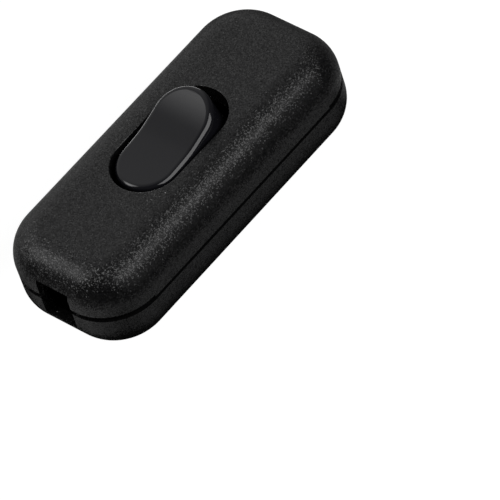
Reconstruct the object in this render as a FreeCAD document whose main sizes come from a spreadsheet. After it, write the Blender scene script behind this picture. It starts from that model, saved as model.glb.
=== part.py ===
import FreeCAD, Part
import Sketcher
import math
import os

# Inline cord switch with a double-pole rocker.
# The frame stands at the middle of the base: X runs along the cord, Y across it and Z up.
# The rocker is drawn as it rests, with its near end (-X) pressed and its far end (+X) raised.

# Driving dimensions in millimetres and degrees
DIMENSIONS = [
    ("body_length", 75.0, "housing, end to end"),
    ("body_width", 32.2, "housing, across the cord"),
    ("body_height", 20.5, "housing without the rocker"),
    ("plan_corner", 11.0, "radius of the corners seen from above"),
    ("top_round", 7.4, "radius of the upper edge all round"),
    ("base_round", 7.4, "radius of the lower edge all round"),
    ("wall", 2.2, "thickness of both shells"),
    ("parting_height", 10.7, "middle of the groove between the shells"),
    ("groove", 0.8, "height of the groove along the sides"),
    ("end_groove_extra", 0.5, "more height of the groove round the ends"),
    ("lip", 1.0, "outer part of the upper wall that covers the tongue"),
    ("tongue_height", 2.3, "tongue above the lower rim"),
    ("seam_clearance", 0.1, "between the tongue and the lip"),
    ("slot_width", 8.0, "cord slot"),
    ("slot_height", 9.3, "cord slot, half in each shell"),
    ("opening_end_play", 1.9, "between the level rocker and either end of its opening"),
    ("opening_side_play", 0.6, "between the rocker and the sides of its opening"),
    ("opening_edge", 0.25, "broken edge of the rocker opening"),
    ("collar_wall", 1.4, "wall that hangs round the opening"),
    ("collar_depth", 1.8, "collar below the cover"),
    ("pivot_height", 16.0, "rocker axis above the base"),
    ("rocker_tilt", 11.8, "rocker at rest, each way from level"),
    ("rocker_half_length", 12.1, "rocker"),
    ("rocker_radius", 6.85, "rocker, half its width"),
    ("rocker_middle", 5.15, "top of the rocker above its axis, at the middle"),
    ("facet_slope", 8.7, "slope of each half of the rocker's top"),
    ("facet_blend", 12.0, "radius between the two halves"),
    ("rocker_edge", 1.35, "rounded upper edge of the rocker"),
    ("rocker_skirt", 2.0, "rocker's side walls below its axis"),
    ("rocker_wall", 1.3, "rocker's side walls"),
    ("rocker_roof", 1.75, "thinnest place of the rocker's top"),
    ("trunnion_radius", 1.5, "pivot stub"),
    ("trunnion_hold", 1.45, "pivot stub, from the side of the opening to its end"),
    ("trunnion_clearance", 0.08, "between the stub and its seat, all round"),
    ("ear_thickness", 2.0, "bearing ear"),
    ("ear_half_width", 3.4, "bearing ear, half its width"),
    ("ear_depth", 2.6, "bearing ear below the rocker's axis"),
    ("keeper_width", 2.8, "post under the pivot stub"),
    ("keeper_thickness", 1.5, "post under the pivot stub"),
    ("pole_offset", 4.0, "each pole from the middle"),
    ("socket_depth", 3.2, "plunger sockets, mouth below the rocker's axis"),
    ("socket_top", 3.0, "plunger sockets, roof above the rocker's axis"),
    ("socket_block", 2.5, "block round the sockets, half its length"),
    ("plunger_radius", 1.47, "plunger shank"),
    ("plunger_clearance", 0.08, "between the plunger and its socket, all round"),
    ("plunger_shoulder", 1.5, "plunger's back end below the rocker's axis"),
    ("nose_radius", 1.3, "plunger's rounded tip"),
    ("nose_gap", 0.15, "between the plunger and the blade, at mid swing"),
    ("spring_radius", 1.1, "plunger spring, to the middle of the wire"),
    ("spring_wire", 0.2, "plunger spring, wire radius"),
    ("spring_turns", 4.0, "plunger spring"),
    ("strip_thickness", 0.8, "terminal strips"),
    ("strip_width", 5.0, "terminal strips"),
    ("fulcrum_drop", 7.4, "from the rocker's axis down to the edge that the blade rocks on"),
    ("fulcrum_rise", 1.5, "that edge above the terminal strips"),
    ("fulcrum_play", 0.06, "between that edge and the blade"),
    ("horn_height", 1.3, "horns beside the blade, above that edge"),
    ("horn_thickness", 0.7, "horns beside the blade"),
    ("waist_width", 3.2, "blade between the horns"),
    ("waist_half_length", 1.5, "blade between the horns"),
    ("waist_play", 0.15, "between the blade and each horn"),
    ("blade_thickness", 0.6, "contact blade"),
    ("blade_width", 4.4, "contact blade"),
    ("blade_reach", 9.6, "contact blade, from the middle to its end"),
    ("blade_rise", 4.0, "slope of each arm of the blade"),
    ("blade_tilt", 6.0, "blade at rest, each way from level"),
    ("contact_place", 8.0, "contacts, from the fulcrum along the strip"),
    ("contact_radius", 1.4, "contact buttons"),
    ("button_height", 0.5, "moving contact, at its crown"),
    ("button_crown", 0.2, "moving contact, height of the crown alone"),
    ("contact_gap", 0.1, "between the contacts at the end of the swing"),
    ("contact_strip_start", 6.2, "inner end of the contact strip"),
    ("fulcrum_strip_start", -1.6, "inner end of the fulcrum strip"),
    ("terminal_gap", 4.0, "from the blade's end to the middle of the terminal screw"),
    ("washer_thickness", 0.8, "square washer"),
    ("washer_width", 5.0, "square washer"),
    ("terminal_shank", 1.5, "terminal screw"),
    ("terminal_tip", 2.7, "tip of the terminal screw above the base"),
    ("terminal_head", 2.5, "terminal screw, head radius"),
    ("terminal_head_height", 1.7, "terminal screw"),
    ("thread_clearance", 0.06, "round every screw shank"),
    ("drive_width", 0.7, "screwdriver slot"),
    ("drive_depth", 0.8, "screwdriver slot"),
    ("head_round", 0.4, "rounded edge of a screw head"),
    ("pedestal_length", 6.8, "block under each terminal"),
    ("pedestal_width", 5.6, "block under each terminal"),
    ("rib_thickness", 1.2, "ribs in the lower shell"),
    ("root", 0.4, "how far ribs, posts and ears run into the wall they stand on"),
    ("bore_spare", 0.3, "blind bores beyond the screw's tip"),
    ("barrier_drop", 6.2, "from the rocker's axis down to the insulating wall between the poles"),
    ("barrier_reach", 21.0, "insulating wall, from the middle to its end"),
    ("clamp_share", 0.38, "how far the cord clamps stand from the screw bosses towards the end walls"),
    ("clamp_width", 5.0, "cord clamp, along the cord"),
    ("clamp_half_span", 10.2, "cord clamp, across the cord"),
    ("clamp_thickness", 2.4, "cord clamp"),
    ("clamp_corner", 2.4, "rounded ends of the cord clamp"),
    ("clamp_tooth", 0.7, "ridges that bite on the cord"),
    ("clamp_tooth_span", 6.6, "ridges, across the cord"),
    ("clamp_seat", 12.0, "clamp's underside above the base"),
    ("clamp_screw_place", 7.6, "clamp screws from the middle"),
    ("clamp_post", 2.4, "clamp post radius"),
    ("clamp_shank", 1.4, "clamp screw"),
    ("clamp_screw_length", 9.0, "clamp screw below its head"),
    ("clamp_head", 2.3, "clamp screw, head radius"),
    ("clamp_head_height", 1.5, "clamp screw"),
    ("saddle_height", 6.0, "rib that the cord lies on, above the base"),
    ("boss_gap", 0.3, "between the terminal blocks and the screw bosses"),
    ("housing_screw_inset", 6.7, "housing screws from the sides of the housing"),
    ("housing_shank", 1.45, "housing screw"),
    ("housing_screw_length", 11.0, "housing screw below its head"),
    ("housing_head", 2.5, "housing screw, head radius"),
    ("housing_head_height", 1.6, "housing screw"),
    ("housing_head_seat", 3.6, "counterbore, depth from the base"),
    ("housing_head_room", 0.3, "between the screw head and its counterbore"),
    ("boss_radius", 2.7, "screw boss of either shell"),
    ("boss_meeting", 9.0, "where the bosses of the two shells meet"),
    ("boss_foot_wall", 1.1, "foot of the lower boss, round the counterbore"),
    ("boss_foot_height", 5.4, "thicker foot of the lower boss, above the base"),
    ("pilot_depth", 6.0, "screw's bore in the upper boss"),
    ("gusset_thickness", 1.0, "webs between a boss and the side wall"),
    ("gusset_drop", 4.0, "webs, from the cover down"),
    ("spigot_radius", 1.3, "locating spigot"),
    ("spigot_height", 2.6, "locating spigot"),
    ("crown_share", 0.25, "rise of a contact button's crown that lies outside half its radius"),
]

# Sizes and places that follow from those above
FOLLOWING = [
    ("end_groove_start", "body_length / 2 - plan_corner", "start of the higher part of the groove"),
    ("opening_half_length", "rocker_half_length + opening_end_play", "rocker opening"),
    ("opening_radius", "rocker_radius + opening_side_play", "rocker opening, half its width"),
    ("trunnion_reach", "opening_radius + trunnion_hold", "pivot stub, from the middle to its end"),
    ("fulcrum_height", "pivot_height - fulcrum_drop", "edge that the blade rocks on"),
    ("strip_top", "fulcrum_height - fulcrum_rise", "upper face of the terminal strips"),
    ("terminal_length", "strip_top + washer_thickness - terminal_tip", "terminal screw below its head"),
    ("terminal_place", "blade_reach + terminal_gap", "terminal screws from the middle"),
    ("strip_end", "terminal_place + pedestal_length / 2", "outer end of the terminal strips"),
    ("barrier_height", "pivot_height - barrier_drop", "insulating wall above the base"),
    ("housing_screw_x", "strip_end + boss_gap + boss_radius", "housing screws from the middle"),
    ("housing_screw_y", "body_width / 2 - housing_screw_inset", "housing screws from the middle"),
    ("boss_side", "housing_screw_x + boss_radius", "outer side of the bosses from the middle"),
    (
        "clamp_place", "boss_side + clamp_share * (body_length / 2 - wall - boss_side)",
        "cord clamps from the middle",
    ),
]

doc = FreeCAD.newDocument("InlineCordSwitch")
sheet = doc.addObject("Spreadsheet::Sheet", "dims")
for row, (alias, value, note) in enumerate(DIMENSIONS + FOLLOWING, start=1):
    sheet.set("A%d" % row, alias)
    sheet.set("B%d" % row, "=%s" % value)
    sheet.set("C%d" % row, note)
    sheet.setAlias("B%d" % row, alias)
doc.recompute()

ORIGIN = (-1, 1)
TINY = 1e-6
SAME_PLACE = 1e-4


def size(alias):
    return float(sheet.get(alias))


# Helpers for sketches and features

def make_body(label):
    body = doc.addObject("PartDesign::Body", label)
    body.Label = label
    return body


def sketch_on(body, name, role="XY_Plane", offset="0"):
    """A sketch on one of the body's own origin planes, moved along that plane's normal."""
    planes = [f for f in body.Origin.OriginFeatures if f.Role == role]
    sketch = body.newObject("Sketcher::SketchObject", body.Name + "_" + name)
    sketch.AttachmentSupport = [(planes[0], "")]
    sketch.MapMode = "FlatFace"
    sketch.setExpression("AttachmentOffset.Base.z", offset)
    return sketch


def constrain(sketch, expression, kind, *where):
    index = sketch.addConstraint(Sketcher.Constraint(kind, *where, 1.0))
    sketch.setExpression("Constraints[%d]" % index, expression)


def place_point(sketch, geometry, point, across, up):
    constrain(sketch, across, "DistanceX", *ORIGIN, geometry, point)
    constrain(sketch, up, "DistanceY", *ORIGIN, geometry, point)


def draw_circle(sketch, across, up, radius):
    centre = FreeCAD.Vector(1, 1, 0)
    circle = sketch.addGeometry(Part.Circle(centre, FreeCAD.Vector(0, 0, 1), 1), False)
    place_point(sketch, circle, 3, across, up)
    constrain(sketch, radius, "Radius", circle)


def draw_polygon(sketch, points):
    """A closed outline whose corners are pairs of expressions."""
    count = len(points)
    start = [
        FreeCAD.Vector(math.cos(2 * math.pi * k / count), math.sin(2 * math.pi * k / count), 0)
        for k in range(count)
    ]
    lines = [
        sketch.addGeometry(Part.LineSegment(start[k], start[(k + 1) % count]), False)
        for k in range(count)
    ]
    for k in range(count):
        sketch.addConstraint(Sketcher.Constraint("Coincident", lines[k], 2, lines[(k + 1) % count], 1))
    for line, (across, up) in zip(lines, points):
        place_point(sketch, line, 1, across, up)


def draw_box(sketch, left, right, low, high):
    draw_polygon(sketch, [(left, low), (right, low), (right, high), (left, high)])


def draw_block(sketch, across, half_across, up, half_up):
    """A rectangle given by its middle and its half sizes."""
    draw_box(
        sketch,
        "(%s) - (%s)" % (across, half_across),
        "(%s) + (%s)" % (across, half_across),
        "(%s) - (%s)" % (up, half_up),
        "(%s) + (%s)" % (up, half_up),
    )


def draw_rounded_rectangle(sketch, half_length, half_width, corner):
    """A rectangle about the origin with four equal round corners."""
    ends = [((-2, -3), (2, -3)), ((4, -1), (4, 1)), ((2, 3), (-2, 3)), ((-4, 1), (-4, -1))]
    centres = [(2, -1), (2, 1), (-2, 1), (-2, -1)]
    lines = []
    arcs = []
    for (x0, y0), (x1, y1) in ends:
        segment = Part.LineSegment(FreeCAD.Vector(x0, y0, 0), FreeCAD.Vector(x1, y1, 0))
        lines.append(sketch.addGeometry(segment, False))
    for k, (x, y) in enumerate(centres):
        circle = Part.Circle(FreeCAD.Vector(x, y, 0), FreeCAD.Vector(0, 0, 1), 2)
        first = (k - 1) * math.pi / 2
        arcs.append(sketch.addGeometry(Part.ArcOfCircle(circle, first, first + math.pi / 2), False))
    for k in range(4):
        sketch.addConstraint(Sketcher.Constraint("Tangent", lines[k], 2, arcs[k], 1))
        sketch.addConstraint(Sketcher.Constraint("Tangent", arcs[k], 2, lines[(k + 1) % 4], 1))
    for k in (0, 2):
        sketch.addConstraint(Sketcher.Constraint("Horizontal", lines[k]))
        sketch.addConstraint(Sketcher.Constraint("Vertical", lines[k + 1]))
    for k in (1, 2, 3):
        sketch.addConstraint(Sketcher.Constraint("Equal", arcs[0], arcs[k]))
    sketch.addConstraint(Sketcher.Constraint("Symmetric", arcs[1], 3, arcs[3], 3, *ORIGIN))
    constrain(sketch, corner, "Radius", arcs[0])
    place_point(sketch, arcs[1], 3, "%s - %s" % (half_length, corner), "%s - %s" % (half_width, corner))


def draw_stadium(sketch, half_length, radius):
    """A long hole about the origin, along X, with full round ends."""
    back = Part.LineSegment(FreeCAD.Vector(3, 2, 0), FreeCAD.Vector(-3, 2, 0))
    front = Part.LineSegment(FreeCAD.Vector(-3, -2, 0), FreeCAD.Vector(3, -2, 0))
    upper = sketch.addGeometry(back, False)
    lower = sketch.addGeometry(front, False)
    up = FreeCAD.Vector(0, 0, 1)
    left_circle = Part.Circle(FreeCAD.Vector(-3, 0, 0), up, 2)
    right_circle = Part.Circle(FreeCAD.Vector(3, 0, 0), up, 2)
    left = sketch.addGeometry(Part.ArcOfCircle(left_circle, math.pi / 2, 3 * math.pi / 2), False)
    right = sketch.addGeometry(Part.ArcOfCircle(right_circle, -math.pi / 2, math.pi / 2), False)
    for first, second in ((upper, left), (left, lower), (lower, right), (right, upper)):
        sketch.addConstraint(Sketcher.Constraint("Tangent", first, 2, second, 1))
    sketch.addConstraint(Sketcher.Constraint("Equal", left, right))
    sketch.addConstraint(Sketcher.Constraint("Symmetric", left, 3, right, 3, *ORIGIN))
    constrain(sketch, radius, "Radius", right)
    place_point(sketch, right, 3, "%s - %s" % (half_length, radius), "0")


def finish_feature(body, feature, before, grows):
    doc.recompute()
    change = body.Shape.Volume - before
    if (change > TINY) != grows:
        raise RuntimeError("%s changes nothing, or the wrong way: %g" % (feature.Name, change))
    return feature


def current_volume(body):
    return 0.0 if body.Shape.isNull() else body.Shape.Volume


def pad(body, sketch, length, both=False, down=False):
    before = current_volume(body)
    feature = body.newObject("PartDesign::Pad", sketch.Name + "_pad")
    feature.Profile = sketch
    feature.Midplane = both
    feature.Reversed = down
    feature.setExpression("Length", length)
    return finish_feature(body, feature, before, True)


def pocket(body, sketch, length=None, both=False, up=False):
    """A cut against the sketch's normal, or along it with up; without a length it goes right through."""
    before = current_volume(body)
    feature = body.newObject("PartDesign::Pocket", sketch.Name + "_pocket")
    feature.Profile = sketch
    feature.Midplane = both
    feature.Reversed = up
    if length is None:
        feature.Type = 1
    else:
        feature.setExpression("Length", length)
    return finish_feature(body, feature, before, False)


def turn(body, sketch):
    """A solid turned about the upright axis of an XZ sketch."""
    before = current_volume(body)
    feature = body.newObject("PartDesign::Revolution", sketch.Name + "_turn")
    feature.Profile = sketch
    feature.ReferenceAxis = (sketch, ["V_Axis"])
    feature.Angle = 360
    return finish_feature(body, feature, before, True)


def round_edges(body, base, radius, chosen, kind="PartDesign::Fillet"):
    """A fillet or chamfer on the edges of base that chosen picks by their place."""
    doc.recompute()
    names = ["Edge%d" % (k + 1) for k, edge in enumerate(base.Shape.Edges) if chosen(edge)]
    feature = body.newObject(kind, base.Name + "_round")
    feature.Base = (base, names)
    feature.setExpression("Radius" if kind.endswith("Fillet") else "Size", radius)
    doc.recompute()
    return feature


def at_level(height):
    """Picks the edges that lie flat at one height."""
    def chosen(edge):
        box = edge.BoundBox
        return abs(box.ZMin - height) < SAME_PLACE and abs(box.ZMax - height) < SAME_PLACE
    return chosen


def put(body, across="0", aside="0", up="0", axis=None, angle=None):
    """Places a finished body by expressions, turned about one axis where it is given."""
    if axis is not None:
        rotation = FreeCAD.Rotation(FreeCAD.Vector(*axis), 1)
        body.Placement = FreeCAD.Placement(FreeCAD.Vector(0, 0, 0), rotation)
        body.setExpression("Placement.Rotation.Angle", angle)
    body.setExpression("Placement.Base.x", across)
    body.setExpression("Placement.Base.y", aside)
    body.setExpression("Placement.Base.z", up)


# Values that several pieces share, worked out from the sheet
PAST = "1"
HALF_LENGTH = "dims.body_length / 2"
HALF_WIDTH = "dims.body_width / 2"
INNER_LENGTH = "dims.body_length / 2 - dims.wall"
INNER_WIDTH = "dims.body_width / 2 - dims.wall"
INNER_CORNER = "(dims.plan_corner - dims.wall)"
CEILING = "dims.body_height - dims.wall"
LOWER_RIM = "dims.parting_height - dims.groove / 2"
UPPER_RIM = "dims.parting_height + dims.groove / 2"
TONGUE_TOP = "dims.parting_height - dims.groove / 2 + dims.tongue_height"
FLOOR_ROOT = "dims.wall - dims.root"
SLOT_TOP = "dims.parting_height + dims.slot_height / 2"
SLOT_FLOOR = "dims.parting_height - dims.slot_height / 2"
EAR_MIDDLE = "dims.opening_radius + dims.ear_thickness / 2"
STRIP_FLOOR = "dims.strip_top - dims.strip_thickness"
CORNERS = ((1, 1), (1, -1), (-1, 1), (-1, -1))


def signed(sign, expression):
    return "%d * (%s)" % (sign, expression)


# Upper shell: the moulded cover with the rocker opening, the bearing ears and the screw bosses

def make_upper_shell():
    body = make_body("upper_shell")

    outline = sketch_on(body, "outline", offset=UPPER_RIM)
    draw_rounded_rectangle(outline, HALF_LENGTH, HALF_WIDTH, "dims.plan_corner")
    block = pad(body, outline, "dims.body_height - (%s)" % UPPER_RIM)
    round_edges(body, block, "dims.top_round", at_level(size("body_height")))

    inside = sketch_on(body, "inside", offset=UPPER_RIM)
    draw_rounded_rectangle(inside, INNER_LENGTH, INNER_WIDTH, INNER_CORNER)
    hollow = pocket(body, inside, "%s - (%s)" % (CEILING, UPPER_RIM), up=True)
    ceiling = size("body_height") - size("wall")
    round_edges(body, hollow, "dims.top_round - dims.wall", at_level(ceiling))

    rebate = sketch_on(body, "rebate", offset=UPPER_RIM)
    draw_rounded_rectangle(
        rebate,
        "dims.body_length / 2 - dims.lip",
        "dims.body_width / 2 - dims.lip",
        "(dims.plan_corner - dims.lip)",
    )
    pocket(body, rebate, "%s - (%s)" % (TONGUE_TOP, UPPER_RIM), up=True)

    # The lower edge stands a little higher round both ends
    relief = sketch_on(body, "relief", offset=UPPER_RIM)
    middle = "(%s + %s + dims.end_groove_start) / 2" % (HALF_LENGTH, PAST)
    reach = "(%s + %s - dims.end_groove_start) / 2" % (HALF_LENGTH, PAST)
    for end in (1, -1):
        draw_block(relief, signed(end, middle), reach, "0", "%s + %s" % (HALF_WIDTH, PAST))
    pocket(body, relief, "dims.end_groove_extra", up=True)

    # The cord slots, cut through both end walls at once
    slots = sketch_on(body, "slots", "YZ_Plane")
    low = "%s - %s" % (UPPER_RIM, PAST)
    draw_box(slots, "-dims.slot_width / 2", "dims.slot_width / 2", low, SLOT_TOP)
    pocket(body, slots, both=True)

    collar = sketch_on(body, "collar", offset=CEILING + " - dims.collar_depth")
    draw_stadium(
        collar,
        "(dims.opening_half_length + dims.collar_wall)",
        "(dims.opening_radius + dims.collar_wall)",
    )
    pad(body, collar, "dims.collar_depth + dims.root")

    # Two bearing ears, open below so that the rocker's stubs go in
    ear_foot = "dims.pivot_height - dims.ear_depth"
    ears = sketch_on(body, "ears", offset=ear_foot)
    for side in (1, -1):
        draw_block(ears, "0", "dims.ear_half_width", signed(side, EAR_MIDDLE), "dims.ear_thickness / 2")
    pad(body, ears, "%s - (%s) + dims.root" % (CEILING, ear_foot))

    opening = sketch_on(body, "opening", offset="dims.body_height")
    draw_stadium(opening, "dims.opening_half_length", "dims.opening_radius")
    cut = pocket(body, opening)
    at_top = at_level(size("body_height"))
    reach = size("opening_half_length") + TINY
    round_edges(
        body, cut, "dims.opening_edge",
        lambda edge: at_top(edge) and max(abs(edge.BoundBox.XMin), abs(edge.BoundBox.XMax)) < reach,
    )

    seats = sketch_on(body, "seats", "XZ_Plane")
    seat_radius = "(dims.trunnion_radius + dims.trunnion_clearance)"
    draw_box(seats, "-" + seat_radius, seat_radius, "%s - %s" % (ear_foot, PAST), "dims.pivot_height")
    across_both = "2 * (dims.opening_radius + dims.ear_thickness + dims.root)"
    pocket(body, seats, across_both, both=True)
    seat_ends = sketch_on(body, "seat_ends", "XZ_Plane")
    draw_circle(seat_ends, "0", "dims.pivot_height", seat_radius)
    pocket(body, seat_ends, across_both, both=True)

    # Four bosses: two take the housing screws and two take the spigots
    bosses = sketch_on(body, "bosses", offset="dims.boss_meeting")
    webs = sketch_on(body, "webs", offset=CEILING + " - dims.gusset_drop")
    pilots = sketch_on(body, "pilots", offset="dims.boss_meeting")
    sleeves = sketch_on(body, "sleeves", offset="dims.boss_meeting")
    for across, aside in CORNERS:
        x = signed(across, "dims.housing_screw_x")
        y = signed(aside, "dims.housing_screw_y")
        draw_circle(bosses, x, y, "dims.boss_radius")
        outward = signed(aside, "(dims.housing_screw_y + %s) / 2" % INNER_WIDTH)
        half_reach = "(%s - dims.housing_screw_y) / 2" % INNER_WIDTH
        draw_block(webs, x, "dims.gusset_thickness / 2", outward, half_reach)
        if across == aside:
            draw_circle(sleeves, x, y, "dims.spigot_radius + dims.thread_clearance")
        else:
            draw_circle(pilots, x, y, "dims.housing_shank + dims.thread_clearance")
    pad(body, bosses, CEILING + " - dims.boss_meeting + dims.root")
    pad(body, webs, "dims.gusset_drop - dims.wall / 2")
    pocket(body, pilots, "dims.pilot_depth", up=True)
    pocket(body, sleeves, "dims.spigot_height + dims.thread_clearance", up=True)
    return body


# Lower shell: the moulded base with the tongue, the terminal blocks, the clamp posts and the barrier

def make_lower_shell():
    body = make_body("lower_shell")

    outline = sketch_on(body, "outline")
    draw_rounded_rectangle(outline, HALF_LENGTH, HALF_WIDTH, "dims.plan_corner")
    block = pad(body, outline, LOWER_RIM)
    round_edges(body, block, "dims.base_round", at_level(0.0))

    inside = sketch_on(body, "inside", offset="dims.wall")
    draw_rounded_rectangle(inside, INNER_LENGTH, INNER_WIDTH, INNER_CORNER)
    hollow = pocket(body, inside, up=True)
    round_edges(body, hollow, "dims.base_round - dims.wall", at_level(size("wall")))

    tongue = sketch_on(body, "tongue", offset=LOWER_RIM)
    draw_rounded_rectangle(
        tongue,
        HALF_LENGTH + " - dims.lip - dims.seam_clearance",
        HALF_WIDTH + " - dims.lip - dims.seam_clearance",
        "(dims.plan_corner - dims.lip - dims.seam_clearance)",
    )
    draw_rounded_rectangle(tongue, INNER_LENGTH, INNER_WIDTH, INNER_CORNER)
    pad(body, tongue, "dims.tongue_height")

    slots = sketch_on(body, "slots", "YZ_Plane")
    high = "%s + %s" % (TONGUE_TOP, PAST)
    draw_box(slots, "-dims.slot_width / 2", "dims.slot_width / 2", SLOT_FLOOR, high)
    pocket(body, slots, both=True)

    barrier = sketch_on(body, "barrier", offset=FLOOR_ROOT)
    draw_block(barrier, "0", "dims.barrier_reach", "0", "dims.rib_thickness / 2")
    pad(body, barrier, "dims.barrier_height - (%s)" % FLOOR_ROOT)

    # A post under each pivot stub keeps the rocker in its ears
    keepers = sketch_on(body, "keepers", offset=FLOOR_ROOT)
    for side in (1, -1):
        y = signed(side, EAR_MIDDLE)
        draw_block(keepers, "0", "dims.keeper_width / 2", y, "dims.keeper_thickness / 2")
    stub_floor = "dims.pivot_height - dims.trunnion_radius - dims.trunnion_clearance"
    pad(body, keepers, "%s - (%s)" % (stub_floor, FLOOR_ROOT))

    # Terminal blocks under the screws, and ribs that carry the strips between them
    pedestals = sketch_on(body, "pedestals", offset=FLOOR_ROOT)
    strip_ribs = sketch_on(body, "strip_ribs", offset=FLOOR_ROOT)
    for side in (1, -1):
        y = signed(side, "dims.pole_offset")
        for x in ("-dims.terminal_place", "dims.terminal_place"):
            draw_block(pedestals, x, "dims.pedestal_length / 2", y, "dims.pedestal_width / 2")
        for x in ("-dims.contact_place", "0", "dims.contact_place"):
            draw_block(strip_ribs, x, "dims.rib_thickness / 2", y, "dims.pedestal_width / 2")
    pad(body, pedestals, "%s - (%s)" % (STRIP_FLOOR, FLOOR_ROOT))
    pad(body, strip_ribs, "%s - (%s)" % (STRIP_FLOOR, FLOOR_ROOT))

    # Clamp posts beside the cord and the saddle ribs under it
    posts = sketch_on(body, "posts", offset=FLOOR_ROOT)
    for across, aside in CORNERS:
        x = signed(across, "dims.clamp_place")
        draw_circle(posts, x, signed(aside, "dims.clamp_screw_place"), "dims.clamp_post")
    pad(body, posts, "dims.clamp_seat - (%s)" % FLOOR_ROOT)
    saddles = sketch_on(body, "saddles", offset=FLOOR_ROOT)
    for x in ("-dims.clamp_place", "dims.clamp_place"):
        half_span = "dims.clamp_screw_place - dims.clamp_post + dims.root"
        draw_block(saddles, x, "dims.rib_thickness / 2", "0", half_span)
    pad(body, saddles, "dims.saddle_height - (%s)" % FLOOR_ROOT)

    # Bosses that meet those of the cover: two with a counterbored foot, two with a spigot
    bosses = sketch_on(body, "bosses", offset=FLOOR_ROOT)
    feet = sketch_on(body, "feet", offset=FLOOR_ROOT)
    spigots = sketch_on(body, "spigots", offset="dims.boss_meeting")
    counterbores = sketch_on(body, "counterbores")
    screw_holes = sketch_on(body, "screw_holes")
    head_room = "dims.housing_head + dims.housing_head_room"
    for across, aside in CORNERS:
        x = signed(across, "dims.housing_screw_x")
        y = signed(aside, "dims.housing_screw_y")
        draw_circle(bosses, x, y, "dims.boss_radius")
        if across == aside:
            draw_circle(spigots, x, y, "dims.spigot_radius")
        else:
            draw_circle(feet, x, y, head_room + " + dims.boss_foot_wall")
            draw_circle(counterbores, x, y, head_room)
            draw_circle(screw_holes, x, y, "dims.housing_shank + dims.thread_clearance")
    pad(body, bosses, "dims.boss_meeting - (%s)" % FLOOR_ROOT)
    pad(body, feet, "dims.boss_foot_height - (%s)" % FLOOR_ROOT)
    pad(body, spigots, "dims.spigot_height")
    pocket(body, counterbores, "dims.housing_head_seat", up=True)
    pocket(body, screw_holes, "dims.boss_meeting", up=True)

    # Blind bores for the terminal screws and the clamp screws
    terminal_bores = sketch_on(body, "terminal_bores", offset=STRIP_FLOOR)
    clamp_bores = sketch_on(body, "clamp_bores", offset="dims.clamp_seat")
    for across, aside in CORNERS:
        x = signed(across, "dims.terminal_place")
        y = signed(aside, "dims.pole_offset")
        draw_circle(terminal_bores, x, y, "dims.terminal_shank + dims.thread_clearance")
        x = signed(across, "dims.clamp_place")
        y = signed(aside, "dims.clamp_screw_place")
        draw_circle(clamp_bores, x, y, "dims.clamp_shank + dims.thread_clearance")
    below_strip = "dims.terminal_length - dims.washer_thickness - dims.strip_thickness"
    pocket(body, terminal_bores, below_strip + " + dims.bore_spare")
    pocket(body, clamp_bores, "dims.clamp_screw_length - dims.clamp_thickness + dims.bore_spare")
    return body


# Rocker: a hollow glossy cap with a V-shaped top, two pivot stubs and two plunger sockets

def make_rocker():
    body = make_body("rocker")
    slope = "tan(dims.facet_slope)"
    end_height = "dims.rocker_middle + dims.rocker_half_length * %s" % slope

    outline = sketch_on(body, "outline", offset="-dims.rocker_skirt")
    draw_stadium(outline, "dims.rocker_half_length", "dims.rocker_radius")
    pad(body, outline, "dims.rocker_skirt + %s + %s" % (end_height, PAST))

    above = sketch_on(body, "above", "XZ_Plane")
    reach = "(dims.rocker_half_length + %s)" % PAST
    edge_height = "dims.rocker_middle + %s * %s" % (reach, slope)
    lid = "%s + 2 * %s" % (end_height, PAST)
    draw_polygon(above, [
        ("0", "dims.rocker_middle"),
        (reach, edge_height),
        (reach, lid),
        ("-" + reach, lid),
        ("-" + reach, edge_height),
    ])
    saddle = pocket(body, above, both=True)
    middle = size("rocker_middle")
    blend = round_edges(body, saddle, "dims.facet_blend", at_level(middle))
    lowest = middle - TINY
    round_edges(
        body, blend, "dims.rocker_edge",
        lambda edge: edge.BoundBox.ZMin > lowest and not crosses(edge),
    )

    stubs = sketch_on(body, "stubs", "XZ_Plane")
    draw_circle(stubs, "0", "0", "dims.trunnion_radius")
    pad(body, stubs, "2 * dims.trunnion_reach", both=True)

    inside = sketch_on(body, "inside", offset="-dims.rocker_skirt")
    draw_stadium(
        inside,
        "(dims.rocker_half_length - dims.rocker_wall)",
        "(dims.rocker_radius - dims.rocker_wall)",
    )
    pocket(body, inside, "dims.rocker_skirt + dims.rocker_middle - dims.rocker_roof", up=True)

    block = sketch_on(body, "socket_block", offset="-dims.socket_depth")
    draw_block(block, "0", "dims.socket_block", "0", "dims.rocker_radius - dims.rocker_wall / 2")
    pad(body, block, "dims.socket_depth + dims.rocker_middle - dims.rocker_roof")
    sockets = sketch_on(body, "sockets", offset="-dims.socket_depth")
    bore = "dims.plunger_radius + dims.plunger_clearance"
    for sign in (1, -1):
        draw_circle(sockets, "0", signed(sign, "dims.pole_offset"), bore)
    pocket(body, sockets, "dims.socket_depth + dims.socket_top", up=True)
    put(body, up="dims.pivot_height", axis=(0, -1, 0), angle="dims.rocker_tilt")
    return body


def crosses(edge):
    """True for an edge that runs straight across the rocker's top, from side to side."""
    return edge.BoundBox.XLength < SAME_PLACE


# Plungers: nylon pins with a round nose that press on the blades

NOSE_TIP = "(dims.pivot_height - dims.fulcrum_height - dims.blade_thickness - dims.nose_gap)"


def make_plunger(label, sign):
    body = make_body(label)
    shank = sketch_on(body, "shank", offset="-" + NOSE_TIP)
    draw_circle(shank, "0", "0", "dims.plunger_radius")
    pin = pad(body, shank, NOSE_TIP + " - dims.plunger_shoulder")
    tip = size("pivot_height") - size("fulcrum_height") - size("blade_thickness") - size("nose_gap")
    round_edges(body, pin, "dims.nose_radius", at_level(-tip))
    put(
        body, aside=signed(sign, "dims.pole_offset"), up="dims.pivot_height",
        axis=(0, -1, 0), angle="dims.rocker_tilt",
    )
    return body


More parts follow.
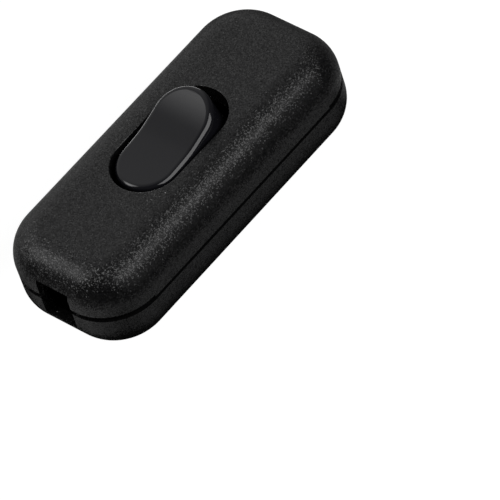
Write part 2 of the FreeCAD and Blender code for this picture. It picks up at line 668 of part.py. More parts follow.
def make_spring(label, sign):
    """A coil that lies along the rocker's own axis, between the plunger and the roof of its socket."""
    free = "(dims.socket_top + dims.plunger_shoulder - 2 * dims.spring_wire)"
    helix = doc.addObject("Part::Helix", label + "_path")
    helix.setExpression("Radius", "dims.spring_radius")
    helix.setExpression("Height", free)
    helix.setExpression("Pitch", free + " / dims.spring_turns")
    wire = doc.addObject("Part::Circle", label + "_wire")
    wire.setExpression("Radius", "dims.spring_wire")
    upright = FreeCAD.Rotation(FreeCAD.Vector(1, 0, 0), 90)
    wire.Placement = FreeCAD.Placement(FreeCAD.Vector(0, 0, 0), upright)
    wire.setExpression("Placement.Base.x", "dims.spring_radius")
    coil = doc.addObject("Part::Sweep", label)
    coil.Label = label
    coil.Sections = [wire]
    coil.Spine = (helix, ["Edge1"])
    coil.Solid = True
    base_level = "(dims.spring_wire - dims.plunger_shoulder)"
    put(
        coil,
        across="-%s * sin(dims.rocker_tilt)" % base_level,
        aside=signed(sign, "dims.pole_offset"),
        up="dims.pivot_height + %s * cos(dims.rocker_tilt)" % base_level,
        axis=(0, -1, 0), angle="dims.rocker_tilt",
    )
    doc.recompute()
    return coil


# Contact blades: V-shaped brass strips that rock on the fulcrum, each with a silver button under one arm

def make_blade(label, sign):
    body = make_body(label)
    rise = "dims.blade_reach * tan(dims.blade_rise)"
    top = "dims.blade_thickness / cos(dims.blade_rise)"
    side = sketch_on(body, "side", "XZ_Plane")
    draw_polygon(side, [
        ("0", "0"),
        ("dims.blade_reach", rise),
        ("dims.blade_reach", "%s + %s" % (rise, top)),
        ("0", top),
        ("-dims.blade_reach", "%s + %s" % (rise, top)),
        ("-dims.blade_reach", rise),
    ])
    pad(body, side, "dims.blade_width", both=True)
    waist = sketch_on(body, "waist")
    depth = "(dims.blade_width - dims.waist_width) / 4"
    middle = "(dims.blade_width + dims.waist_width) / 4 + %s" % PAST
    for side in (1, -1):
        draw_block(waist, "0", "dims.waist_half_length", signed(side, middle), "%s + %s" % (depth, PAST))
    pocket(body, waist, both=True)
    put(
        body, aside=signed(sign, "dims.pole_offset"), up="dims.fulcrum_height",
        axis=(0, 1, 0), angle="dims.blade_tilt",
    )
    return body


def make_moving_contact(label, sign):
    """A domed button, its flat back on the underside of the blade's near arm."""
    body = make_body(label)
    side = sketch_on(body, "side", "XZ_Plane")
    draw_box(side, "0", "dims.contact_radius", "dims.button_crown - dims.button_height", "0")
    turn(body, side)
    dome = sketch_on(body, "dome", "XZ_Plane")
    draw_polygon(dome, [
        ("0", "dims.button_crown - dims.button_height"),
        ("dims.contact_radius", "dims.button_crown - dims.button_height"),
        ("dims.contact_radius / 2", "dims.button_crown * dims.crown_share - dims.button_height"),
        ("0", "-dims.button_height"),
    ])
    turn(body, dome)
    put(
        body,
        across="-dims.contact_place * cos(dims.blade_tilt + dims.blade_rise)",
        aside=signed(sign, "dims.pole_offset"),
        up="dims.fulcrum_height + dims.contact_place * sin(dims.blade_tilt + dims.blade_rise)",
        axis=(0, 1, 0), angle="dims.blade_tilt + dims.blade_rise",
    )
    return body


# Terminal strips

def bore_strip(body, x):
    hole = sketch_on(body, "screw_hole", offset="dims.strip_top")
    draw_circle(hole, x, "0", "dims.terminal_shank + dims.thread_clearance")
    pocket(body, hole, both=True)


def make_fulcrum_terminal(label, sign):
    """The far strip: a flat tail under the screw, a fork that the blade rocks in, and a stop for its arm."""
    body = make_body(label)
    flat = sketch_on(body, "flat", offset=STRIP_FLOOR)
    half = "dims.strip_width / 2"
    draw_box(flat, "dims.fulcrum_strip_start", "dims.strip_end", "-" + half, half)
    pad(body, flat, "dims.strip_thickness")
    fork = sketch_on(body, "fork", "YZ_Plane")
    gap = "(dims.waist_width / 2 + dims.waist_play)"
    outer = "(dims.waist_width / 2 + dims.waist_play + dims.horn_thickness)"
    edge = "dims.fulcrum_height - dims.fulcrum_play"
    tip = "dims.fulcrum_height + dims.horn_height"
    foot = "dims.strip_top - dims.strip_thickness / 2"
    draw_polygon(fork, [
        ("-" + outer, foot), (outer, foot), (outer, tip), (gap, tip),
        (gap, edge), ("-" + gap, edge), ("-" + gap, tip), ("-" + outer, tip),
    ])
    pad(body, fork, "dims.strip_thickness", both=True)
    stop = sketch_on(body, "stop", offset="dims.strip_top - dims.strip_thickness / 2")
    draw_circle(stop, "dims.contact_place", "0", "dims.contact_radius")
    drop = "(dims.contact_place + dims.contact_radius) * sin(dims.blade_tilt - dims.blade_rise)"
    arm = "dims.fulcrum_height - %s - dims.contact_gap" % drop
    pad(body, stop, "%s - dims.strip_top + dims.strip_thickness / 2" % arm)
    bore_strip(body, "dims.terminal_place")
    put(body, aside=signed(sign, "dims.pole_offset"))
    return body


def make_contact_terminal(label, sign):
    """The near strip, with the fixed contact on its inner end."""
    body = make_body(label)
    flat = sketch_on(body, "flat", offset=STRIP_FLOOR)
    half = "dims.strip_width / 2"
    draw_box(flat, "-dims.strip_end", "-dims.contact_strip_start", "-" + half, half)
    pad(body, flat, "dims.strip_thickness")
    bore_strip(body, "-dims.terminal_place")
    put(body, aside=signed(sign, "dims.pole_offset"))
    return body


def make_fixed_contact(label, sign):
    body = make_body(label)
    disc = sketch_on(body, "disc", offset="dims.strip_top")
    draw_circle(disc, "0", "0", "dims.contact_radius")
    closed_arm = "dims.fulcrum_height - dims.contact_place * sin(dims.blade_tilt - dims.blade_rise)"
    height = "%s - dims.button_height - dims.contact_gap - dims.strip_top" % closed_arm
    pad(body, disc, height)
    put(body, across="-dims.contact_place", aside=signed(sign, "dims.pole_offset"))
    return body


# Screws and washers

def make_screw(label, head, head_height, shank, length, x, y, up, turned=False):
    """A slotted screw whose head rests at the given height, drawn head up."""
    body = make_body(label)
    side = sketch_on(body, "side", "XZ_Plane")
    draw_polygon(side, [
        ("0", "-(%s)" % length),
        (shank, "-(%s)" % length),
        (shank, "0"),
        (head, "0"),
        (head, head_height),
        ("0", head_height),
    ])
    form = turn(body, side)
    top = form.Shape.BoundBox.ZMax
    round_edges(body, form, "dims.head_round", at_level(top))
    drive = sketch_on(body, "drive", offset=head_height)
    draw_block(drive, "0", "%s + %s" % (head, PAST), "0", "dims.drive_width / 2")
    pocket(body, drive, "dims.drive_depth")
    if turned:
        put(body, x, y, up, axis=(1, 0, 0), angle="180")
    else:
        put(body, x, y, up)
    return body


def make_washer(label, across, aside):
    """A square pressed washer that holds the wire down."""
    body = make_body(label)
    plate = sketch_on(body, "plate", offset="dims.strip_top")
    half = "dims.washer_width / 2"
    draw_block(plate, "0", half, "0", half)
    pad(body, plate, "dims.washer_thickness")
    hole = sketch_on(body, "hole", offset="dims.strip_top")
    draw_circle(hole, "0", "0", "dims.terminal_shank + dims.thread_clearance")
    pocket(body, hole, both=True)
    put(body, signed(across, "dims.terminal_place"), signed(aside, "dims.pole_offset"))
    return body


# Cord clamps: nylon bars with ridges below, each held by two screws

def make_clamp(label, sign):
    body = make_body(label)
    bar = sketch_on(body, "bar", offset="dims.clamp_seat")
    half_width = "dims.clamp_width / 2"
    draw_block(bar, "0", half_width, "0", "dims.clamp_half_span")
    solid = pad(body, bar, "dims.clamp_thickness")
    upright = size("clamp_thickness") / 2
    round_edges(body, solid, "dims.clamp_corner", lambda edge: edge.BoundBox.ZLength > upright)
    for place, name in (("-1", "outer"), ("1", "inner")):
        tooth = sketch_on(body, "tooth_" + name, "XZ_Plane")
        middle = "(%s) * dims.clamp_width / 4" % place
        foot = "dims.clamp_seat + dims.root"
        draw_polygon(tooth, [
            (middle + " - dims.clamp_tooth", foot),
            (middle, "dims.clamp_seat - dims.clamp_tooth"),
            (middle + " + dims.clamp_tooth", foot),
        ])
        pad(body, tooth, "dims.clamp_tooth_span", both=True)
    holes = sketch_on(body, "holes", offset="dims.clamp_seat")
    bore = "dims.clamp_shank + dims.thread_clearance"
    for aside in (1, -1):
        draw_circle(holes, "0", signed(aside, "dims.clamp_screw_place"), bore)
    pocket(body, holes, both=True)
    put(body, signed(sign, "dims.clamp_place"))
    return body


# Put the switch together
ENDS = ((-1, "near"), (1, "far"))
POLES = ((1, "left"), (-1, "right"))

pieces = [make_upper_shell(), make_lower_shell(), make_rocker()]
for aside, pole in POLES:
    pieces.append(make_plunger("plunger_" + pole, aside))
    pieces.append(make_spring("plunger_spring_" + pole, aside))
    pieces.append(make_blade("contact_blade_" + pole, aside))
    pieces.append(make_moving_contact("moving_contact_" + pole, aside))
    pieces.append(make_fulcrum_terminal("fulcrum_terminal_" + pole, aside))
    pieces.append(make_contact_terminal("contact_terminal_" + pole, aside))
    pieces.append(make_fixed_contact("fixed_contact_" + pole, aside))
    for across, end in ENDS:
        pieces.append(make_washer("terminal_washer_%s_%s" % (end, pole), across, aside))
        pieces.append(make_screw(
            "terminal_screw_%s_%s" % (end, pole),
            "dims.terminal_head", "dims.terminal_head_height", "dims.terminal_shank", "dims.terminal_length",
            signed(across, "dims.terminal_place"), signed(aside, "dims.pole_offset"),
            "dims.strip_top + dims.washer_thickness",
        ))
        pieces.append(make_screw(
            "clamp_screw_%s_%s" % (end, pole),
            "dims.clamp_head", "dims.clamp_head_height", "dims.clamp_shank", "dims.clamp_screw_length",
            signed(across, "dims.clamp_place"), signed(aside, "dims.clamp_screw_place"),
            "dims.clamp_seat + dims.clamp_thickness",
        ))
for across, end in ENDS:
    pieces.append(make_clamp("cord_clamp_" + end, across))
    pieces.append(make_screw(
        "housing_screw_" + end,
        "dims.housing_head", "dims.housing_head_height", "dims.housing_shank", "dims.housing_screw_length",
        signed(across, "dims.housing_screw_x"), signed(-across, "dims.housing_screw_y"),
        "dims.housing_head_seat", turned=True,
    ))

doc.recompute()
for item in doc.Objects:
    if "Invalid" in item.State or "Error" in item.State:
        raise RuntimeError("%s failed: %s" % (item.Name, item.State))
for piece in pieces:
    shape = piece.Shape
    if shape.isNull() or not shape.isValid() or len(shape.Solids) != 1:
        raise RuntimeError("%s is not one sound solid" % piece.Label)

os.makedirs("parts", exist_ok=True)
for piece in pieces:
    piece.Shape.exportStep(os.path.join("parts", piece.Label + ".step"))
    box = piece.Shape.BoundBox
    print("%-28s volume %9.2f  z %6.2f to %6.2f" % (piece.Label, piece.Shape.Volume, box.ZMin, box.ZMax))
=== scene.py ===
import math

import bpy
from mathutils import Matrix, Quaternion, Vector


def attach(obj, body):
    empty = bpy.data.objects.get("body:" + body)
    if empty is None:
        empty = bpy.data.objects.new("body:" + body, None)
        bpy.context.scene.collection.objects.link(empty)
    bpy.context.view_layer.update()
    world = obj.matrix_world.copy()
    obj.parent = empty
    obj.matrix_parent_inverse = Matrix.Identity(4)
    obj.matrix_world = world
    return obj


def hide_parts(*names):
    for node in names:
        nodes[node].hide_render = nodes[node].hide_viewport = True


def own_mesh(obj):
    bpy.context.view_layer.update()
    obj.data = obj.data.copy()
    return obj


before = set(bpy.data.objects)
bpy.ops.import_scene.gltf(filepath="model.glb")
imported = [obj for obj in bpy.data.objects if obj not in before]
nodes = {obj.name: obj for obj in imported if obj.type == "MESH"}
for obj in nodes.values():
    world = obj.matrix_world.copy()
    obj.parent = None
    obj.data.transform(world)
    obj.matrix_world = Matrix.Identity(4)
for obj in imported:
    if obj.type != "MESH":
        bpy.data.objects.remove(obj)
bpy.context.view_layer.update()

MM = 0.001


# Upper and lower shell
# Two black plastic mouldings that close round the switch along a groove, held by two screws from
# below. Their steel mould was spark-eroded, so the skin is covered in fine dull facets, a few of
# which catch a lamp and glitter.

housing_plastic = bpy.data.materials.new("housing_black")
housing_plastic.use_nodes = True
tree = housing_plastic.node_tree
shader = tree.nodes["Principled BSDF"]
shader.inputs["Specular IOR Level"].default_value = 0.36
shader.inputs["Coat Weight"].default_value = 0.32
shader.inputs["Coat Roughness"].default_value = 0.30
shader.inputs["Coat IOR"].default_value = 1.5
shader.inputs["IOR"].default_value = 1.5
place = tree.nodes.new("ShaderNodeTexCoord")

grain = tree.nodes.new("ShaderNodeTexVoronoi")
grain.inputs["Scale"].default_value = 5500
tree.links.new(place.outputs["Object"], grain.inputs["Vector"])
facing = tree.nodes.new("ShaderNodeNewGeometry")
middle = tree.nodes.new("ShaderNodeVectorMath")
middle.operation = "SUBTRACT"
middle.inputs[1].default_value = (0.5, 0.5, 0.5)
tree.links.new(grain.outputs["Color"], middle.inputs[0])
lean = tree.nodes.new("ShaderNodeVectorMath")
lean.operation = "MULTIPLY_ADD"
lean.inputs[1].default_value = (0.70, 0.70, 0.70)
tree.links.new(middle.outputs["Vector"], lean.inputs[0])
tree.links.new(facing.outputs["Normal"], lean.inputs[2])
upright = tree.nodes.new("ShaderNodeVectorMath")
upright.operation = "NORMALIZE"
tree.links.new(lean.outputs["Vector"], upright.inputs[0])
tree.links.new(upright.outputs["Vector"], shader.inputs["Normal"])

channels = tree.nodes.new("ShaderNodeSeparateColor")
tree.links.new(grain.outputs["Color"], channels.inputs["Color"])
tint = tree.nodes.new("ShaderNodeMix")
tint.data_type = "RGBA"
tint.inputs["A"].default_value = (0.0015, 0.0015, 0.0016, 1)
tint.inputs["B"].default_value = (0.0065, 0.0065, 0.0068, 1)
tree.links.new(channels.outputs["Green"], tint.inputs["Factor"])
tree.links.new(tint.outputs["Result"], shader.inputs["Base Color"])

dullness = tree.nodes.new("ShaderNodeMapRange")
dullness.inputs["To Min"].default_value = 0.05
dullness.inputs["To Max"].default_value = 0.24
tree.links.new(channels.outputs["Blue"], dullness.inputs["Value"])
tree.links.new(dullness.outputs["Result"], shader.inputs["Roughness"])


def give_material(names, material):
    for name in names:
        nodes[name].data.materials.clear()
        nodes[name].data.materials.append(material)


give_material(("upper_shell", "lower_shell"), housing_plastic)


# Rocker
# A cap of polished black plastic with a hollowed facet for either position, moulded in one piece
# with the two stubs that turn in the cover's ears and the block that holds the plungers' sockets.
# It is drawn level and in millimetres about its axis, then tipped and set in the cover.

rocker_half_length = 12.1
rocker_radius = 6.85
rocker_foot = -2.0
rocker_middle = 5.21
rocker_rim = 1.35
hollow_wall = 1.3
hollow_roof = 3.4
valley = 1.2
facet_rise = 0.096
facet_hollow = 0.00482
corner_steps = 20
column_steps = 10
rim_steps = 10
edge_steps = 3
turned_steps = 64
same_place = 0.001
same_column = 0.0006
rim_slack = 0.03
weld = 0.005
full_round = 0.9999
cut_past = 1.0
smooth_angle = math.radians(35)
stub_radius = 1.5
stub_span = 17.8
stub_edge = 0.2
block_length = 5.0
block_inset = 0.7
block_foot = -3.2
block_top = 3.8
block_edge = 0.3
socket_aside = 4.0
socket_radius = 1.55
socket_foot = -4.2
socket_top = 3.0
rocker_tilt = math.radians(11.8)
pivot_height = 16.0


def pick(piece, kind, chosen):
    """Selects the vertices or edges of a piece in edit mode by their place."""
    mesh = piece.data
    bpy.ops.mesh.select_mode(type="EDGE" if kind == "edges" else "VERT")
    bpy.ops.mesh.select_all(action="DESELECT")
    bpy.ops.object.mode_set(mode="OBJECT")
    for part in getattr(mesh, kind):
        if kind == "edges":
            part.select = chosen(*(mesh.vertices[k].co for k in part.vertices))
        else:
            part.select = chosen(part.co)
    bpy.ops.object.mode_set(mode="EDIT")


def near(value, level):
    return abs(value - level) < same_place


def round_ended_block(name, half_length, radius, low, high):
    """A block with full round ends, left in edit mode."""
    bpy.ops.object.select_all(action="DESELECT")
    bpy.ops.mesh.primitive_cube_add(
        size=1,
        location=(0, 0, (low + high) / 2),
        scale=(2 * half_length, 2 * radius, high - low),
    )
    block = bpy.context.object
    block.name = name
    bpy.ops.object.transform_apply(location=True, rotation=True, scale=True)
    bpy.ops.object.mode_set(mode="EDIT")
    pick(block, "edges", lambda a, b: near(a.x, b.x) and near(a.y, b.y))
    bpy.ops.mesh.bevel(
        offset=radius * full_round, segments=corner_steps, affect="EDGES", clamp_overlap=False
    )
    bpy.ops.mesh.select_all(action="SELECT")
    bpy.ops.mesh.remove_doubles(threshold=weld)
    return block


def combine(piece, tool, operation):
    """Cuts the tool out of the piece or joins it on, and removes the tool."""
    change = piece.modifiers.new(operation.lower(), "BOOLEAN")
    change.operation = operation
    change.solver = "EXACT"
    change.object = tool
    bpy.ops.object.select_all(action="DESELECT")
    bpy.context.view_layer.objects.active = piece
    bpy.ops.object.modifier_apply(modifier=change.name)
    tool.select_set(True)
    bpy.ops.object.delete()


cap = round_ended_block("rocker_cap", rocker_half_length, rocker_radius, rocker_foot, rocker_middle)
straight = rocker_half_length - rocker_radius

# Cuts across the cap let its top follow the facets: even ones along the straight sides, then one
# at each corner step of the round ends, save the steepest.
columns = [straight * k / column_steps for k in range(-column_steps, column_steps + 1)]
for k in range(1, corner_steps - 3):
    reach = straight + rocker_radius * math.sin(math.pi / 2 * k / corner_steps)
    columns += [reach, -reach]
for across in columns:
    bpy.ops.mesh.select_all(action="SELECT")
    bpy.ops.mesh.bisect(plane_co=(across, 0, 0), plane_no=(1, 0, 0), threshold=same_place)

bpy.ops.object.mode_set(mode="OBJECT")
outline = sorted({round(vertex.co.x, 3) for vertex in cap.data.vertices})
bpy.ops.object.mode_set(mode="EDIT")
for across in outline:
    rise = facet_rise * (math.hypot(across, valley) - valley) + facet_hollow * across ** 2
    pick(cap, "vertices", lambda co: abs(co.x - across) < same_column and co.z > 0)
    bpy.ops.transform.translate(value=(0, 0, rise))


def on_rim(a, b):
    """True for an edge between the cap's upper face and its side wall."""
    for co in (a, b):
        over = abs(co.x) - straight
        reach = abs(co.y) if over <= 0 else math.hypot(over, co.y)
        if co.z < 0 or reach < rocker_radius - rim_slack:
            return False
    return not (near(a.x, b.x) and a.y * b.y < 0)


pick(cap, "edges", on_rim)
bpy.ops.mesh.bevel(
    offset=rocker_rim, segments=rim_steps, affect="EDGES", clamp_overlap=False, loop_slide=False
)
bpy.ops.object.mode_set(mode="OBJECT")

bpy.ops.object.select_all(action="DESELECT")
bpy.ops.mesh.primitive_cylinder_add(
    vertices=turned_steps,
    radius=stub_radius,
    depth=stub_span,
    location=(0, 0, 0),
    rotation=(math.pi / 2, 0, 0),
)
stubs = bpy.context.object
bpy.ops.object.transform_apply(location=True, rotation=True, scale=True)
bpy.ops.object.mode_set(mode="EDIT")
pick(stubs, "edges", lambda a, b: near(a.y, b.y))
bpy.ops.mesh.bevel(offset=stub_edge, segments=edge_steps, affect="EDGES")
bpy.ops.object.mode_set(mode="OBJECT")
combine(cap, stubs, "UNION")

hollow = round_ended_block(
    "hollow",
    rocker_half_length - hollow_wall,
    rocker_radius - hollow_wall,
    rocker_foot - cut_past,
    hollow_roof,
)
bpy.ops.object.mode_set(mode="OBJECT")
combine(cap, hollow, "DIFFERENCE")

bpy.ops.object.select_all(action="DESELECT")
bpy.ops.mesh.primitive_cube_add(
    size=1,
    location=(0, 0, (block_foot + block_top) / 2),
    scale=(block_length, 2 * (rocker_radius - block_inset), block_top - block_foot),
)
socket_block = bpy.context.object
bpy.ops.object.transform_apply(location=True, rotation=True, scale=True)
bpy.ops.object.mode_set(mode="EDIT")
pick(socket_block, "edges", lambda a, b: a.z < 0 and b.z < 0)
bpy.ops.mesh.bevel(offset=block_edge, segments=edge_steps, affect="EDGES")
bpy.ops.object.mode_set(mode="OBJECT")
combine(cap, socket_block, "UNION")
for aside in (-socket_aside, socket_aside):
    bpy.ops.object.select_all(action="DESELECT")
    bpy.ops.mesh.primitive_cylinder_add(
        vertices=turned_steps,
        radius=socket_radius,
        depth=socket_top - socket_foot,
        location=(0, aside, (socket_foot + socket_top) / 2),
    )
    combine(cap, bpy.context.object, "DIFFERENCE")

cap.rotation_euler = (0, -rocker_tilt, 0)
cap.location = (0, 0, pivot_height * MM)
cap.scale = (MM, MM, MM)
bpy.ops.object.select_all(action="DESELECT")
cap.select_set(True)
bpy.ops.object.transform_apply(location=True, rotation=True, scale=True)
bpy.ops.object.shade_smooth_by_angle(angle=smooth_angle)
evened = cap.modifiers.new("evened", "WEIGHTED_NORMAL")
evened.keep_sharp = True
bpy.ops.object.modifier_apply(modifier=evened.name)

rocker_plastic = bpy.data.materials.new("rocker_black")
rocker_plastic.use_nodes = True
tree = rocker_plastic.node_tree
shader = tree.nodes["Principled BSDF"]
shader.inputs["IOR"].default_value = 1.52
place = tree.nodes.new("ShaderNodeTexCoord")
flow = tree.nodes.new("ShaderNodeTexNoise")
flow.inputs["Scale"].default_value = 90
flow.inputs["Detail"].default_value = 2
tree.links.new(place.outputs["Object"], flow.inputs["Vector"])
polish = tree.nodes.new("ShaderNodeMapRange")
polish.inputs["To Min"].default_value = 0.06
polish.inputs["To Max"].default_value = 0.10
tree.links.new(flow.outputs["Fac"], polish.inputs["Value"])
tree.links.new(polish.outputs["Result"], shader.inputs["Roughness"])
tint = tree.nodes.new("ShaderNodeMix")
tint.data_type = "RGBA"
tint.inputs["A"].default_value = (0.006, 0.006, 0.008, 1)
tint.inputs["B"].default_value = (0.008, 0.008, 0.010, 1)
tree.links.new(flow.outputs["Fac"], tint.inputs["Factor"])
tree.links.new(tint.outputs["Result"], shader.inputs["Base Color"])
cap.data.materials.append(rocker_plastic)
give_material(("rocker",), rocker_plastic)
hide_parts("rocker")
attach(cap, "rocker")


# Plungers and cord clamps
# The plungers are turned from natural nylon rod and slide in the rocker's sockets. The clamps are
# moulded from black nylon, with ridges below, and two screws each pull them down on the cord.

def clouded(name, dark, light, dull, scale, metallic=0.0, stretch=(1, 1, 1), depth=0.0):
    """A material whose colour and dullness wander a little along the way the piece was worked."""
    material = bpy.data.materials.new(name)
    material.use_nodes = True
    tree = material.node_tree
    shader = tree.nodes["Principled BSDF"]
    shader.inputs["Metallic"].default_value = metallic
    place = tree.nodes.new("ShaderNodeTexCoord")
    along = tree.nodes.new("ShaderNodeMapping")
    along.inputs["Scale"].default_value = stretch
    tree.links.new(place.outputs["Object"], along.inputs["Vector"])
    cloud = tree.nodes.new("ShaderNodeTexNoise")
    cloud.inputs["Scale"].default_value = scale
    cloud.inputs["Detail"].default_value = 5
    cloud.inputs["Roughness"].default_value = 0.65
    tree.links.new(along.outputs["Vector"], cloud.inputs["Vector"])
    tint = tree.nodes.new("ShaderNodeMix")
    tint.data_type = "RGBA"
    tint.inputs["A"].default_value = (*dark, 1)
    tint.inputs["B"].default_value = (*light, 1)
    tree.links.new(cloud.outputs["Fac"], tint.inputs["Factor"])
    tree.links.new(tint.outputs["Result"], shader.inputs["Base Color"])
    dullness = tree.nodes.new("ShaderNodeMapRange")
    dullness.inputs["To Min"].default_value = dull[0]
    dullness.inputs["To Max"].default_value = dull[1]
    tree.links.new(cloud.outputs["Fac"], dullness.inputs["Value"])
    tree.links.new(dullness.outputs["Result"], shader.inputs["Roughness"])
    if depth:
        relief = tree.nodes.new("ShaderNodeBump")
        relief.inputs["Strength"].default_value = 0.6
        relief.inputs["Distance"].default_value = depth
        tree.links.new(cloud.outputs["Fac"], relief.inputs["Height"])
        tree.links.new(relief.outputs["Normal"], shader.inputs["Normal"])
    return material


natural_nylon = clouded(
    "nylon_white", (0.70, 0.68, 0.61), (0.80, 0.78, 0.72), (0.34, 0.50), 700, depth=0.00002
)
black_nylon = clouded(
    "nylon_black", (0.010, 0.010, 0.010), (0.022, 0.022, 0.022), (0.38, 0.55), 900, depth=0.00003
)
give_material(("plunger_left", "plunger_right"), natural_nylon)
give_material(("cord_clamp_near", "cord_clamp_far"), black_nylon)


# Plunger springs
# Coils of hard-drawn steel wire that press the plungers on the blades. The drawing leaves faint
# streaks along the wire and a thin film of oil. In the switch they shorten as the plungers slide
# in; here each gets a mesh of its own and keeps one length.

spring_steel = clouded(
    "spring_steel",
    (0.42, 0.42, 0.44),
    (0.58, 0.58, 0.59),
    (0.20, 0.36),
    2500,
    metallic=1.0,
    stretch=(1, 1, 0.3),
    depth=0.000004,
)
give_material(("plunger_spring_left", "plunger_spring_right"), spring_steel)
for side, aside in (("left", socket_aside), ("right", -socket_aside)):
    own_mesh(nodes["plunger_spring_" + side])


# Contact blades, terminal strips and contacts
# The current-carrying pieces are stamped from rolled brass, whose rolling streaks run along the
# strips. Silver buttons are pressed into the blades and the near strips, and dull with use.

rolled_brass = clouded(
    "brass",
    (0.66, 0.45, 0.18),
    (0.84, 0.64, 0.31),
    (0.22, 0.40),
    1600,
    metallic=1.0,
    stretch=(0.08, 1, 1),
    depth=0.000006,
)
contact_silver = clouded(
    "silver",
    (0.70, 0.68, 0.64),
    (0.88, 0.87, 0.84),
    (0.16, 0.34),
    1800,
    metallic=1.0,
    depth=0.000005,
)
for side in ("left", "right"):
    for strip in ("contact_blade_", "fulcrum_terminal_", "contact_terminal_"):
        give_material((strip + side,), rolled_brass)
    for button in ("moving_contact_", "fixed_contact_"):
        give_material((button + side,), contact_silver)


# Screws and washers
# Slotted steel screws, cold-headed and zinc plated, hold the wires, the clamps and the two shells.
# The plating is satin, with the faint bluish and yellowish clouds of its passivation.

zinc_plate = clouded(
    "zinc_steel",
    (0.50, 0.51, 0.55),
    (0.70, 0.69, 0.64),
    (0.24, 0.42),
    1100,
    metallic=1.0,
    depth=0.000006,
)
give_material([name for name in nodes if "screw" in name or "washer" in name], zinc_plate)


# Floor, lamps and camera
# The switch lies on a white sheet in a pale room that is brighter behind it and to its left, with
# a soft box on its right and a low strip lamp behind that draws the rocker's far rim. The sheet's
# colour is painted dark close around the switch, a painted shadow that throws little light up and
# shows in the switch's lower walls, and a black card shades the cover's rounded edge.

sheet_size = 1.4
sheet_gap = 0.0002
room_level = 0.05
seen_room_level = 1.0
lamp_distance = 0.6
picture_width = 500
sensor_width = 36
focal_length = 6020.62
eye_place = Vector((-453.35, -640.35, 854.2))

bpy.ops.object.select_all(action="DESELECT")
bpy.ops.mesh.primitive_plane_add(size=sheet_size, location=(0, 0, -sheet_gap))
floor = bpy.context.object
floor.name = "floor"
floor_white = bpy.data.materials.new("floor_white")
floor_white.use_nodes = True
tree = floor_white.node_tree
shader = tree.nodes["Principled BSDF"]
shader.inputs["Roughness"].default_value = 0.9
shader.inputs["Specular IOR Level"].default_value = 0
shader.inputs["Emission Color"].default_value = (1, 1, 1, 1)
place = tree.nodes.new("ShaderNodeTexCoord")
sides = tree.nodes.new("ShaderNodeSeparateXYZ")
tree.links.new(place.outputs["Object"], sides.inputs["Vector"])


def sized(value):
    size = tree.nodes.new("ShaderNodeMath")
    size.operation = "ABSOLUTE"
    tree.links.new(value, size.inputs[0])
    return size.outputs["Value"]


def ramp(value, start, end, low, high):
    """Goes softly from low at start to high at end."""
    slope = tree.nodes.new("ShaderNodeMapRange")
    slope.interpolation_type = "SMOOTHSTEP"
    slope.inputs["From Min"].default_value = start
    slope.inputs["From Max"].default_value = end
    slope.inputs["To Min"].default_value = low
    slope.inputs["To Max"].default_value = high
    tree.links.new(value, slope.inputs["Value"])
    return slope.outputs["Result"]


def joined(operation, first, second):
    both = tree.nodes.new("ShaderNodeMath")
    both.operation = operation
    tree.links.new(first, both.inputs[0])
    tree.links.new(second, both.inputs[1])
    return both.outputs["Value"]


# Painted shadow: the sheet's colour is dark close around the switch, so the switch's lower walls
# and foot reflect it dark; the colour is also dimmer far past either end and behind the switch.
beside = ramp(sized(sides.outputs["Y"]), 0.0150, 0.0290, 0, 1)
beyond = ramp(sized(sides.outputs["X"]), 0.0365, 0.0435, 0, 1)
clear = joined("MAXIMUM", beside, beyond)
clear = joined("MULTIPLY", clear, ramp(sides.outputs["X"], 0.030, 0.055, 1, 0.3))
clear = joined("MULTIPLY", clear, ramp(sides.outputs["X"], -0.080, -0.045, 0.25, 1))
clear = joined("MULTIPLY", clear, ramp(sides.outputs["Y"], 0.014, 0.020, 1, 0.7))
sheet_colour_with_painted_shade = tree.nodes.new("ShaderNodeMix")
sheet_colour_with_painted_shade.data_type = "RGBA"
sheet_colour_with_painted_shade.inputs["A"].default_value = (0.01, 0.01, 0.01, 1)
sheet_colour_with_painted_shade.inputs["B"].default_value = (0.44, 0.44, 0.44, 1)
tree.links.new(clear, sheet_colour_with_painted_shade.inputs["Factor"])
tree.links.new(sheet_colour_with_painted_shade.outputs["Result"], shader.inputs["Base Color"])

# The camera sees the sheet nearly white all over, whatever light the sheet throws on the switch.
sight = tree.nodes.new("ShaderNodeLightPath")
shine = joined("MULTIPLY", sight.outputs["Is Camera Ray"], ramp(clear, 0, 1, 1, 0.82))
tree.links.new(shine, shader.inputs["Emission Strength"])
floor.data.materials.append(floor_white)

bpy.ops.object.select_all(action="DESELECT")
bpy.ops.mesh.primitive_cube_add(
    size=1, location=(0, -0.0223, 0.0177), scale=(0.16, 0.001, 0.0150)
)
flag = bpy.context.object
flag.name = "flag"
flag.visible_camera = False
flag.visible_diffuse = False
flag.visible_shadow = False
flag_cloth = bpy.data.materials.new("flag_black")
flag_cloth.use_nodes = True
shader = flag_cloth.node_tree.nodes["Principled BSDF"]
shader.inputs["Base Color"].default_value = (0.02, 0.02, 0.02, 1)
shader.inputs["Roughness"].default_value = 1
shader.inputs["Specular IOR Level"].default_value = 0
flag.data.materials.append(flag_cloth)

room = bpy.data.worlds.new("room")
bpy.context.scene.world = room
room.use_nodes = True
tree = room.node_tree
background = tree.nodes["Background"]
background.inputs["Color"].default_value = (1, 1, 1, 1)
ray = tree.nodes.new("ShaderNodeTexCoord")


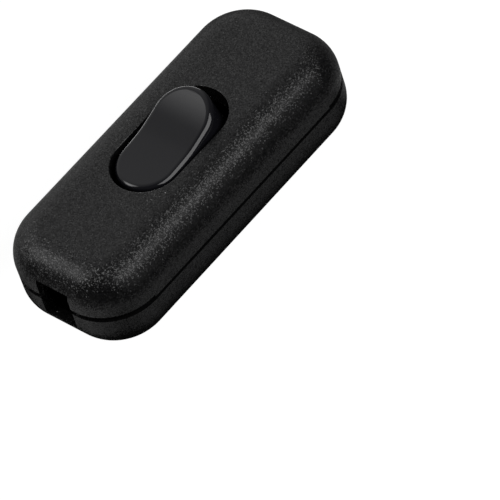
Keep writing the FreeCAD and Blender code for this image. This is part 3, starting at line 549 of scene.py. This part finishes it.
def wash(so_far, towards, inner, outer, strength):
    """Adds a soft bright patch in one direction, full inside one angle and gone at another.

    The first patch is added to the room's own level, and each later one to what is there so far.
    """
    turn = tree.nodes.new("ShaderNodeVectorMath")
    turn.operation = "DOT_PRODUCT"
    turn.inputs[1].default_value = Vector(towards).normalized()
    tree.links.new(ray.outputs["Generated"], turn.inputs[0])
    patch = tree.nodes.new("ShaderNodeMapRange")
    patch.interpolation_type = "SMOOTHSTEP"
    patch.inputs["From Min"].default_value = math.cos(math.radians(outer))
    patch.inputs["From Max"].default_value = math.cos(math.radians(inner))
    patch.inputs["To Max"].default_value = strength
    tree.links.new(turn.outputs["Value"], patch.inputs["Value"])
    total = tree.nodes.new("ShaderNodeMath")
    total.operation = "ADD"
    total.inputs[0].default_value = room_level
    if so_far is not None:
        tree.links.new(so_far, total.inputs[0])
    tree.links.new(patch.outputs["Result"], total.inputs[1])
    return total.outputs["Value"]


glow = wash(None, (0.20, 0.75, 0.65), 28, 72, 0.255)
glow = wash(glow, (0.35, 0.88, 0.3), 20, 60, 0.17)
glow = wash(glow, (-0.47, 0.50, 0.73), 3, 20, 2.8)
glow = wash(glow, (-0.63, 0.53, 0.56), 3, 15, 1.6)
level = tree.nodes.new("ShaderNodeMix")
level.inputs["B"].default_value = seen_room_level
sight = tree.nodes.new("ShaderNodeLightPath")
tree.links.new(sight.outputs["Is Camera Ray"], level.inputs["Factor"])
tree.links.new(glow, level.inputs["A"])
tree.links.new(level.outputs["Result"], background.inputs["Strength"])


def box_lamp(name, out, roll, width, height, watts):
    """Sets a soft box in one direction, facing the switch."""
    lamp = bpy.data.lights.new(name, "AREA")
    lamp.shape = "RECTANGLE"
    lamp.size = width
    lamp.size_y = height
    lamp.energy = watts
    holder = bpy.data.objects.new(name, lamp)
    bpy.context.scene.collection.objects.link(holder)
    out = Vector(out).normalized()
    holder.location = out * lamp_distance
    holder.rotation_mode = "QUATERNION"
    facing_it = out.to_track_quat("Z", "Y")
    holder.rotation_quaternion = facing_it @ Quaternion((0, 0, 1), math.radians(roll))
    return holder


box_lamp("box_right", (0.12, -0.79, 0.61), 12, 0.55, 0.61, 2.75)

# The strip lamp reaches the rocker alone, since it would set the cover's whole grain glittering.
strip_back = box_lamp("strip_back", (0.42, 0.90, 0.085), 0, 0.90, 0.07, 0.8)
strip_lit = bpy.data.collections.new("strip_lit")
strip_lit.objects.link(cap)
strip_back.light_linking.receiver_collection = strip_lit

eye = bpy.data.cameras.new("camera")
eye.sensor_width = sensor_width
eye.lens = focal_length / picture_width * sensor_width
eye.clip_start = 0.05
eye.clip_end = 10
viewer = bpy.data.objects.new("camera", eye)
bpy.context.scene.collection.objects.link(viewer)
right = Vector((0.6223, -0.7512, -0.2201))
down = Vector((-0.6776, -0.37617, -0.63194))
into = Vector((0.39192, 0.5424, -0.7431))
turned = Matrix((right, -down, -into)).transposed().to_4x4()
viewer.matrix_world = Matrix.Translation(eye_place * MM) @ turned
bpy.context.scene.camera = viewer
bpy.context.scene.view_settings.view_transform = "Standard"
